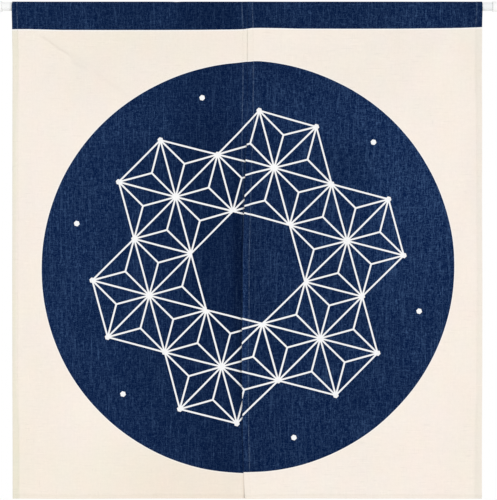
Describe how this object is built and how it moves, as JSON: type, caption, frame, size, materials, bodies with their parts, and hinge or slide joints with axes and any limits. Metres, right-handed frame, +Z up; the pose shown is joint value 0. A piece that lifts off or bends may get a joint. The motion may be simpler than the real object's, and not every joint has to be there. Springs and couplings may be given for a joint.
{
  "type": "noren curtain on a rod",
  "caption": "Short split doorway curtain of hemmed woven cloth with a navy heading band and a printed round panel, hanging by its rod pocket from a round rod with end pads.",
  "frame": {"origin": "on the rod's axis at the middle of the curtain, where the two panels meet", "axes": "+Z up, +X along the rod to the viewer's right, the printed face looks along -Y"},
  "size_m": [0.9146, 0.0186, 0.9001],
  "materials": {
    "woven_cloth": "cream slubby linen and cotton cloth, plain weave, matte, printed in navy on the face",
    "sewing_thread": "spun sewing thread, matte, blue on the navy print and cream elsewhere",
    "white_lacquer": "round wooden bar with a smooth white lacquer, satin",
    "white_plastic": "white moulded plastic, fine matte grain"
  },
  "bodies": {
    "root": {"panel_left": "woven_cloth", "panel_right": "woven_cloth", "rod": "white_lacquer", "rod_end_left": "white_plastic", "rod_end_right": "white_plastic"}
  },
  "joints": []
}
